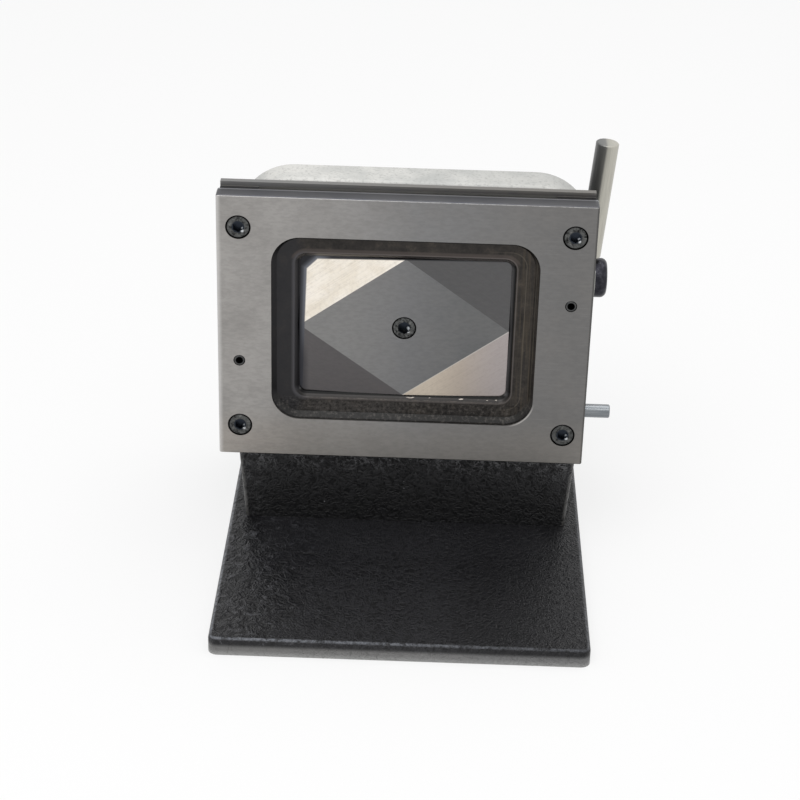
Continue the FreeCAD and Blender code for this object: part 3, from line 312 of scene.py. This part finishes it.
# The die plate: tool steel, surface-ground on its face. The face is painted light and warm to
# the left and darker and greyer to the right as the light falls, and lighter low down. Its edges
# are broken by a chamfer with a painted highlight. The pocket and the screws' bores keep the
# brown-black skin of the hardening, with rings where the cutter ran round the pocket; the bores
# are also painted near black as shade round the heads, and the relief and the pocket's rim
# carry painted light, shade and highlights.
(die_left, die_right), (die_front, die_back), (die_bottom, die_top) = limits("die_plate")
(punch_left, punch_right), (punch_front, _), (punch_bottom, punch_top) = limits("punch")
AXIS_X, AXIS_Z = (die_left + die_right) / 2, (die_bottom + die_top) / 2
CARD_LENGTH, CARD_HEIGHT = punch_right - punch_left, punch_top - punch_bottom
POCKET_LENGTH, POCKET_HEIGHT = CARD_LENGTH + 0.023, CARD_HEIGHT + 0.021
CARD_CORNER, POCKET_CORNER = 0.003, 0.012
SCREW_X, SCREW_Z, BORE_RADIUS = 0.069, 0.04575, 0.00515
GROUND_SCALES = (350.0, 900.0, 900.0)

die = Finish("ground_die_steel", Specular_IOR_Level=0.15)
across, up = die.x - AXIS_X, die.z - AXIS_Z
front = die.y.rise(die_front + 0.0009, die_front + 0.0004)
pocket = outside(across, up, POCKET_LENGTH, POCKET_HEIGHT, POCKET_CORNER)
opening = outside(across, up, CARD_LENGTH, CARD_HEIGHT, CARD_CORNER)
above = die.z.rise(punch_top - 0.0015, punch_top + 0.0010)
below = die.z.rise(punch_bottom + 0.0015, punch_bottom + 0.0003)

# The relief round the opening, with card crumbs. Its colours are painted light and shade: light
# above the punch, shade below it, and a near-black painted shadow in the gap under the punch.
inward = opening.rise(0.0018, 0.0002)
left_relief = die.ramp(inward, (0.0, (0.056, 0.055, 0.058)), (1.0, (0.020, 0.020, 0.022)))
crumbs = die.streaks((300.0, 1400.0, 1700.0), 1.0, 0.5).rise(0.64, 0.70)
crumbs = crumbs * across.rise(-0.005, 0.010) * opening.line(0.0010, 0.0005)
# Painted shadow: near black in the gap under the punch.
gap_shadow = opening.rise(0.0010, 0.0006) * below
relief = die.layered(
    die.ramp(inward, (0.0, (0.012, 0.012, 0.012)), (1.0, (0.100, 0.098, 0.100))),
    (die.x.rise(punch_left + 0.0004, punch_left - 0.0004), left_relief),
    (above * 0.85, (0.42, 0.39, 0.37)),
    (below * 0.8, (0.034, 0.032, 0.031)),
    (crumbs * below, (0.42, 0.38, 0.34)),
    (gap_shadow, (0.004, 0.004, 0.004)))

# The skin of the pocket's floor and walls: brown to the right, bluish to the left, and grimy
# along the bottom.
brown = die.streaks((900.0, 900.0, 40.0), 2.0, 0.5).rise(0.35, 0.75) * across.rise(0.040, 0.053)
rings = pocket.line(-0.0012, 0.00030) + pocket.line(-0.0054, 0.00030)
dusty_floor = up.rise(-0.033, -0.036) * across.rise(0.012, -0.012) * across.rise(-0.046, -0.034)
lower_wall = pocket.rise(-0.0023, -0.0019) * up.rise(-0.030, -0.036)
wall_black = die.blend(across.rise(-0.010, 0.025), (0.024, 0.0235, 0.023), (0.013, 0.0125, 0.012))
grime, grimy = die.noise(650.0, 3.0, 0.65), up.rise(-0.0315, -0.0360)
left_half = across.rise(-0.038, -0.046)
skin = die.layered(
    die.ramp(die.noise(160.0, 4.0, 0.65) * 0.75 + die.noise(900.0, 2.0, 0.6) * 0.25,
             (0.30, (0.022, 0.021, 0.021)), (0.55, (0.046, 0.042, 0.039)),
             (0.75, (0.085, 0.072, 0.060))),
    (brown * 0.65, (0.090, 0.075, 0.058)),
    (across.rise(-0.040, -0.047) * 0.75, (0.036, 0.036, 0.039)),
    (rings * across.rise(0.030, 0.050) * 0.35, (0.17, 0.15, 0.12)),
    (dusty_floor * 0.35, (0.082, 0.077, 0.074)),
    (lower_wall * 0.85, wall_black),
    (grime.rise(0.50, 0.38) * grimy * 0.55, (0.012, 0.0115, 0.011)),
    (grime.rise(0.52, 0.66) * grimy * 0.45, (0.120, 0.110, 0.101)),
    # Painted light on the pocket's floor just above the opening.
    (above * opening.rise(0.0044, 0.0036) * 0.65, (0.090, 0.076, 0.070)),
    # Painted highlights along the edge between the pocket's floor and the relief.
    (opening.line(0.00235, 0.00045) * (1.0 - left_half) * 0.6, (0.150, 0.135, 0.130)),
    (opening.line(0.0022, 0.0016) * left_half * 0.8, (0.088, 0.086, 0.092)),
    (opening.rise(0.0019, 0.0016), relief))

# The ground steel round the pocket, with painted highlights on its left and top edges, a darker
# right edge, its top and the screws' bores.
grain = die.streaks((60.0, 1500.0, 1500.0), 2.0)
mottle = die.noise(40.0, 4.0, 0.62)
lower_left = up.rise(-0.036, -0.054) * across.rise(-0.030, -0.066)
# Painted highlight on the left edge's chamfer.
left_edge_highlight = die.x.rise(die_left + 0.0022, die_left + 0.0002) * front
right_edge = die.x.rise(die_right - 0.0010, die_right - 0.0004)
nicked = die.noise(900.0, 2.0, 0.5).rise(0.30, 0.60)
# Painted highlight on the top edge's chamfer, broken up.
top_edge_highlight = die.z.line(die_top - 0.00055, 0.00022) * front * nicked
top_grey = die.blend(mottle.rise(0.35, 0.65), (0.066, 0.068, 0.078), (0.090, 0.090, 0.096))
# Painted highlight along the rear edge of the top.
top_grey = die.blend(die.y.rise(die_back - 0.0020, die_back - 0.0012) * 0.9, top_grey,
                     (0.30, 0.305, 0.32))
bore = off_axis(abs(across) - SCREW_X, abs(up) - SCREW_Z)
# A painted glint on the pocket's rim at its lower right corner.
glint = pocket.line(0.0004, 0.0005) * (across - up).rise(0.087, 0.092) * front
hollow = pocket.rise(0.0004, 0.0001) * die.y.rise(die_front + 0.0002, die_front + 0.0006)
die.feed(
    Base_Color=die.layered(
        # Painted light and shade: lighter and warmer to the left, darker and greyer to the right.
        die.ramp(across.rise(-0.085, 0.085),
                 (0.0, (0.375, 0.361, 0.346)), (0.30, (0.312, 0.304, 0.297)),
                 (0.55, (0.230, 0.230, 0.232)), (1.0, (0.174, 0.171, 0.168))),
        (mottle.rise(0.36, 0.70) * 0.35, (0.225, 0.215, 0.205)),
        (up.rise(-0.034, -0.054) * 0.45, (0.290, 0.270, 0.243)),
        (lower_left * 0.45, (0.410, 0.372, 0.338)),
        (grain.rise(0.55, 0.80) * 0.18, (0.36, 0.35, 0.34)),
        (die.streaks(GROUND_SCALES).rise(0.35, 0.68) * 0.15, (0.090, 0.090, 0.090)),
        (left_edge_highlight * 0.60, (0.70, 0.69, 0.68)),
        (right_edge * 0.7, (0.060, 0.058, 0.056)),
        (top_edge_highlight * 0.7, (0.42, 0.42, 0.42)),
        (die.z.rise(die_top - 0.00045, die_top - 0.00030), top_grey),
        # Painted shade: the screws' bores are near black round the heads.
        (bore.rise(BORE_RADIUS + 0.00015, BORE_RADIUS + 0.00003), (0.012, 0.012, 0.013)),
        (glint * 0.8, (0.62, 0.60, 0.57)),
        (hollow, skin)),
    Roughness=mottle * 0.14 + 0.34,
    Metallic=1.0 - lower_wall.at_least(gap_shadow) * hollow,
    Normal=die.bump(grain, 0.000012, 0.5))
die.dress("die_plate")

# Guide plate, spacer strips, sheet stop and mount plate: the same steel behind the die plate,
# clamped by its four screws. They are duller and stained. Painted light brightens the guide's
# face above the die plate and the mouth of the sheet slot, most to the left; the tops in front of
# the guide are darker.
_, (guide_front, _), (_, guide_top) = limits("guide_plate")
stack = Finish("dull_stack_steel", Metallic=1.0)
stack_grain = stack.streaks((70.0, 1200.0, 1200.0), 2.0)
stain = stack.noise(70.0, 4.0, 0.65)
light_from_left = stack.x.rise(0.050, -0.075)
# Painted light at the mouth of the sheet slot.
slot_mouth_light = stack.z.line(die_top - 0.0006, 0.0012) * stack.y.line(guide_front, 0.0003)
strip_top = (stack.z.rise(die_top - 0.0003, die_top - 0.0001)
             * stack.y.rise(guide_front - 0.0001, guide_front - 0.0004))
dull = stack.layered(
    stack.blend(stain.rise(0.35, 0.65), (0.078, 0.078, 0.084), (0.120, 0.110, 0.096)),
    # Painted light on the guide's face above the die plate, and along the slot, most to the left.
    (stack.z.rise(die_top + 0.0004, guide_top) * 0.8, (0.210, 0.198, 0.178)),
    (stack.z.rise(die_top - 0.0004, die_top + 0.0006) * (light_from_left * 0.55 + 0.20),
     (0.235, 0.235, 0.235)),
    (slot_mouth_light * 0.85, (0.46, 0.45, 0.43)),
    (strip_top * 0.8, (0.040, 0.040, 0.043)))
stack.feed(Base_Color=dull, Roughness=stack_grain * 0.15 + 0.38,
           Normal=stack.bump(stack_grain, 0.000015, 0.5))
stack.dress("guide_plate", "spacer_left", "spacer_right", "sheet_stop", "mount_plate")


# The die's cap screws and the punch's one: black oxide steel. The heads are rubbed grey
# between a dark rim and the dark socket, with one painted glint by the socket.
def screw_finish(name, apart_x, apart_z):
    """Black oxide for screws along Y, which stand this far apart from the die's axis."""
    oxide = Finish(name, Metallic=1.0)
    side_x, side_z = oxide.x - AXIS_X, oxide.z - AXIS_Z
    from_x, from_z = side_x - side_x.sign() * apart_x, side_z - side_z.sign() * apart_z
    radius = off_axis(from_x, from_z)
    rubbed = radius.rise(0.0024, 0.0029) * radius.rise(0.0048, 0.0042)
    # A painted glint by the socket, at the head's lower right.
    glint_spot = off_axis(from_x - 0.0017, from_z + 0.0016).rise(0.0009, 0.0003)
    uneven = oxide.noise(900.0, 3.0, 0.6)
    shade = oxide.layered(
        oxide.blend(radius.rise(0.0024, 0.0030), (0.026, 0.031, 0.040), (0.013, 0.013, 0.013)),
        (rubbed * uneven.rise(0.30, 0.55), (0.100, 0.102, 0.100)),
        (rubbed * uneven.rise(0.58, 0.70) * 0.5, (0.24, 0.24, 0.23)),
        (glint_spot * uneven.rise(0.25, 0.55), (0.62, 0.64, 0.66)))
    oxide.feed(Base_Color=shade, Roughness=uneven * 0.2 + 0.26)
    return oxide


screw_finish("black_oxide_die_screws", SCREW_X, SCREW_Z).dress("die_screws")
screw_finish("black_oxide_punch_screw", 0.0, 0.0).dress("punch_screw")

# The die's dowels: hardened pins with a tapped bore, pressed through the plates to line them
# up. Their ends are ground dull with the die's face.
DOWEL_Z = 0.015
dowel = Finish("dull_dowel_steel", Metallic=1.0)
radius = off_axis(abs(dowel.x - AXIS_X) - SCREW_X, abs(dowel.z - AXIS_Z) - DOWEL_Z)
shade = dowel.layered(
    dowel.blend(dowel.noise(500.0, 3.0, 0.6).rise(0.35, 0.70),
                (0.060, 0.062, 0.064), (0.110, 0.110, 0.108)),
    (radius.rise(0.0021, 0.0024), (0.018, 0.018, 0.018)),
    (radius.rise(0.0017, 0.0015), (0.010, 0.010, 0.011)))
dowel.feed(Base_Color=shade, Roughness=dowel.noise(900.0) * 0.2 + 0.35)
dowel.dress("die_dowels")


# The punch: tool steel, screwed and dowelled to the ram. The diamond on its face is
# surface-ground, and each corner facet is ground along its own side of the diamond. The facets'
# colours are painted reflections: cream at the upper left, beige fading to the right at the lower
# right and dark on the other two, and the flat diamond is painted lighter to the left.
HALF_LENGTH, HALF_HEIGHT = CARD_LENGTH / 2, CARD_HEIGHT / 2
DIAMOND_SLOPE = math.atan2(HALF_HEIGHT, HALF_LENGTH)
FACET_SCALES = (60.0, 200.0, 2400.0)

punch = Finish("ground_punch_steel", Metallic=1.0)
right, up = punch.x - AXIS_X, punch.z - AXIS_Z
is_right, is_up = right.rise(-0.0001, 0.0001), up.rise(-0.0001, 0.0001)
rising = is_right * (1.0 - is_up) + is_up * (1.0 - is_right)
reach = abs(right) * (1.0 / HALF_LENGTH) + abs(up) * (1.0 / HALF_HEIGHT)
facet = reach.rise(0.998, 1.002) * punch.y.rise(punch_front + 0.0067, punch_front + 0.0057)
lines_up = punch.streaks(FACET_SCALES, roughness=0.65, turn=(0.0, DIAMOND_SLOPE, 0.0))
lines_down = punch.streaks(FACET_SCALES, roughness=0.65, turn=(0.0, -DIAMOND_SLOPE, 0.0))
facet_lines = lines_up * rising + lines_down * (1.0 - rising)

# Painted reflections: cream on the upper left facet, beige fading to the right on the lower
# right.
cream = punch.blend(punch.noise(110.0, 3.0, 0.6).rise(0.35, 0.65), (0.87, 0.80, 0.69),
                    (0.96, 0.90, 0.81))
beige = punch.ramp(right.rise(0.004, 0.044), (0.0, (0.640, 0.560, 0.460)),
                   (0.5, (0.490, 0.425, 0.365)), (1.0, (0.415, 0.375, 0.370)))
# Painted reflections: the upper right and lower left facets are dark.
upper = punch.blend(is_right, cream, (0.108, 0.107, 0.109))
lower = punch.blend(is_right, (0.122, 0.115, 0.117), beige)
smudge = punch.noise(70.0, 3.0, 0.6).rise(0.3, 0.7)
# Painted light: the flat diamond is lighter to the left and darker to the right.
flat = punch.ramp(right.rise(-0.034, 0.034), (0.0, (0.243, 0.241, 0.238)),
                  (0.5, (0.194, 0.195, 0.199)), (1.0, (0.148, 0.150, 0.152)))
flat = punch.blend(smudge * 0.15, flat, (0.24, 0.23, 0.22))
lined = facet_lines.rise(0.42, 0.72) * facet * (rising * 0.11 + 0.05)
speckled = punch.noise(900.0, 2.0, 0.6).rise(0.45, 0.75) * facet * rising
ground = punch.streaks(GROUND_SCALES).rise(0.35, 0.68) * (1.0 - facet * rising)
# A painted highlight along the lower right edge of the diamond.
corner_edge_highlight = reach.line(1.004, 0.012) * is_right * (1.0 - is_up)

# A painted reflection of the pocket's dark walls runs along the left and the upper edge, and
# cuts the corner between them.
from_left, from_top = right + HALF_LENGTH, HALF_HEIGHT - up
left_margin = from_left - (up + HALF_HEIGHT) * 0.030 - 0.0012
top_margin = from_top + (right * 0.030).at_most(0.0) - 0.0004
cut_corner = (from_left + from_top) * 0.7 - 0.0062
dark_wall_reflection = left_margin.at_most(top_margin).at_most(cut_corner)
dark_wall_reflection_grey = punch.layered(
    punch.ramp(dark_wall_reflection.rise(-0.0030, 0.0), (0.0, (0.030, 0.030, 0.033)),
               (0.5, (0.075, 0.078, 0.088)), (1.0, (0.165, 0.172, 0.195))),
    (up.rise(0.022, -0.020) * 0.7, (0.020, 0.020, 0.023)),
    (right.rise(-0.036, -0.030), (0.045, 0.045, 0.049)))
# Painted reflection of the dark wall on the lower left facet, near its left edge.
low_left_reflection = from_left.rise(0.0046, 0.0012) * up.rise(-0.004, -0.018)
colour = punch.layered(
    punch.blend(facet, flat, punch.blend(is_up, lower, upper)),
    (lined, (0.30, 0.26, 0.22)),
    (speckled * 0.12, (0.20, 0.17, 0.15)),
    (ground * 0.13, (0.060, 0.060, 0.060)),
    (corner_edge_highlight * 0.7, (0.62, 0.60, 0.57)),
    (dark_wall_reflection.rise(0.0003, -0.0003), dark_wall_reflection_grey),
    (low_left_reflection * 0.6, (0.034, 0.034, 0.040)))
punch.feed(Base_Color=colour, Roughness=facet_lines * 0.2 + 0.28,
           Normal=punch.bump(facet_lines, 0.00003, 0.4))
punch.dress("punch")


# The lever: a turned and polished rod that leans outwards, on a boss with two key flats. Its
# colour is painted dark on the side that lies against the machine and light on the outer side, as
# reflections on the polished rod.
LEVER_X, LEVER_LEAN = 0.0766, math.radians(4.9)
lever = Finish("polished_lever_steel", Metallic=1.0)
rod_x = ((lever.x - LEVER_X) * math.cos(LEVER_LEAN)
         - (lever.z - AXIS_Z) * math.sin(LEVER_LEAN))
drawn = lever.streaks((1500.0, 1500.0, 60.0), turn=(0.0, -LEVER_LEAN, 0.0))
# Painted reflections: dark on the side towards the machine, light on the outer side.
reflected_sides = lever.ramp(rod_x.rise(-0.0040, 0.0030), (0.0, (0.150, 0.152, 0.152)),
                     (0.42, (0.200, 0.200, 0.192)), (0.60, (0.400, 0.390, 0.345)),
                     (1.0, (0.500, 0.485, 0.430)))
lever.feed(Base_Color=lever.blend(drawn.rise(0.40, 0.70) * 0.3, reflected_sides, (0.26, 0.255, 0.235)),
           Roughness=drawn * 0.15 + 0.30)
lever.dress("lever")

# The stop pin: a length of drawn steel rod, pressed into the casting's side where the lever
# comes to rest. It is bluish and smooth.
pin = Finish("drawn_pin_steel", Metallic=1.0)
drawn = pin.streaks((60.0, 1500.0, 1500.0))
pin.feed(Base_Color=pin.blend(drawn.rise(0.35, 0.65), (0.185, 0.203, 0.217),
                              (0.260, 0.272, 0.285)),
         Roughness=drawn * 0.15 + 0.18)
pin.dress("lever_stop_pin")

# Shaft, collar, washer, guide posts, ram block, yoke keeper and the punch's dowels: steel,
# turned or ground to size and left bare.
bright = Finish("turned_steel", Metallic=1.0)
turned = bright.streaks((2200.0, 700.0, 700.0))
bright.feed(Base_Color=bright.blend(bright.noise(90.0, 3.0, 0.6).rise(0.3, 0.75),
                                    (0.34, 0.34, 0.32), (0.48, 0.48, 0.45)),
            Roughness=turned * 0.14 + 0.22, Normal=bright.bump(turned, 0.00001, 0.5))
bright.dress("lever_washer", "eccentric_shaft", "shaft_collar", "guide_post_left",
             "guide_post_right", "ram_block", "yoke_keeper", "punch_dowels")

# The lever's bolt and the other screws: hardened steel under black oxide, rubbed grey in
# patches where tools and hands touch it.
oxide = Finish("black_oxide", Metallic=1.0)
oxide.feed(Base_Color=oxide.blend(oxide.noise(500.0, 3.0, 0.6).rise(0.4, 0.7),
                                  (0.030, 0.030, 0.037), (0.056, 0.056, 0.066)),
           Roughness=oxide.noise(900.0) * 0.15 + 0.3)
oxide.dress("lever_bolt", "base_screws", "mount_screws", "bearing_bolts", "cover_screws",
            "keeper_screws", "collar_screw")

# The bushes of the shaft and the ram, and the eccentric's sleeve: bearing bronze, turned to
# size and pressed in or slipped on.
bronze = Finish("bearing_bronze", Metallic=1.0)
bronze.feed(Base_Color=bronze.blend(bronze.noise(160.0, 3.0, 0.6).rise(0.3, 0.7),
                                    (0.42, 0.25, 0.10), (0.55, 0.36, 0.17)),
            Roughness=bronze.noise(800.0) * 0.15 + 0.3)
bronze.dress("shaft_bush_left", "shaft_bush_right", "ram_bush_left", "ram_bush_right",
             "eccentric_sleeve")


# The floor: a pale sheet under the machine that keeps a faint shadow. It shows white to the
# camera and in the reflections of the metal.
FLOOR_REACH, FLOOR_WHITENESS = 4.0, 0.72


def seen_rays(patterns):
    """1 for the camera's own rays and for those that metal and glass send on."""
    camera_ray, glossy_ray, through_ray = (
        patterns.node("ShaderNodeLightPath", {}, {}, ray)
        for ray in ("Is Camera Ray", "Is Glossy Ray", "Is Transmission Ray"))
    return camera_ray.at_least(glossy_ray).at_least(through_ray)


floor_mesh = bmesh.new()
bmesh.ops.create_grid(floor_mesh, x_segments=1, y_segments=1, size=FLOOR_REACH)
floor_data = bpy.data.meshes.new("floor")
floor_mesh.to_mesh(floor_data)
floor_mesh.free()
floor = bpy.data.objects.new("floor", floor_data)
bpy.context.scene.collection.objects.link(floor)
sheet = Finish("pale_floor", Base_Color=(0.82, 0.82, 0.82, 1.0), Roughness=0.9)
glow = sheet.node("ShaderNodeEmission", {}, {"Color": (1.0, 1.0, 1.0, 1.0)})
seen = sheet.node("ShaderNodeMixShader", {}, {
    0: seen_rays(sheet) * FLOOR_WHITENESS, 1: Field(sheet, sheet.shader.outputs[0]), 2: glow})
sheet.tree.links.new(seen.socket, sheet.tree.nodes["Material Output"].inputs["Surface"])
floor_data.materials.append(sheet.material)


# The studio: an even pale room that shows white to the camera, with a broad lamp high in
# front of the machine and a weaker one above and behind it.
ROOM_LIGHT, ROOM_SEEN = 0.75, 1.0
LAMP_WIDTH, MACHINE_MIDDLE = 0.9, Vector((0.0, 0.0, 0.1))


def softbox(name, place, power):
    """A square area lamp that points at the middle of the machine."""
    data = bpy.data.lights.new(name, "AREA")
    data.size = LAMP_WIDTH
    data.energy = power
    lamp = bpy.data.objects.new(name, data)
    lamp.location = place
    lamp.rotation_euler = (MACHINE_MIDDLE - Vector(place)).to_track_quat("-Z", "Y").to_euler()
    bpy.context.scene.collection.objects.link(lamp)


world = bpy.data.worlds.new("studio")
bpy.context.scene.world = world
world.use_nodes = True
room = Patterns(world.node_tree)
strength = room.node("ShaderNodeMapRange", {}, {
    "Value": seen_rays(room), "To Min": ROOM_LIGHT, "To Max": ROOM_SEEN})
background = room.tree.nodes["Background"]
background.inputs["Color"].default_value = (1.0, 1.0, 1.0, 1.0)
room.tree.links.new(strength.socket, background.inputs["Strength"])
softbox("front_softbox", (-0.30, -0.85, 1.25), 8.5)
softbox("top_softbox", (0.3, 0.3, 1.3), 4.0)

# The camera: in front, a little over 27 degrees above the bench, and rolled slightly. Its
# place is in metres and its turns are in degrees.
CAMERA_PLACE = (0.006913, -0.827256, 0.499336)
CAMERA_HEADING, CAMERA_DIP, CAMERA_ROLL = 0.7365, 27.5683, 1.603
camera_data = bpy.data.cameras.new("camera")
camera_data.sensor_width = 36.0
camera_data.lens = 95.99
camera = bpy.data.objects.new("camera", camera_data)
turn = (Matrix.Rotation(math.radians(CAMERA_HEADING), 4, "Z")
        @ Matrix.Rotation(math.radians(90.0 - CAMERA_DIP), 4, "X")
        @ Matrix.Rotation(math.radians(CAMERA_ROLL), 4, "Z"))
camera.matrix_world = Matrix.Translation(CAMERA_PLACE) @ turn
bpy.context.scene.collection.objects.link(camera)
bpy.context.scene.camera = camera
bpy.context.scene.view_settings.view_transform = "Standard"
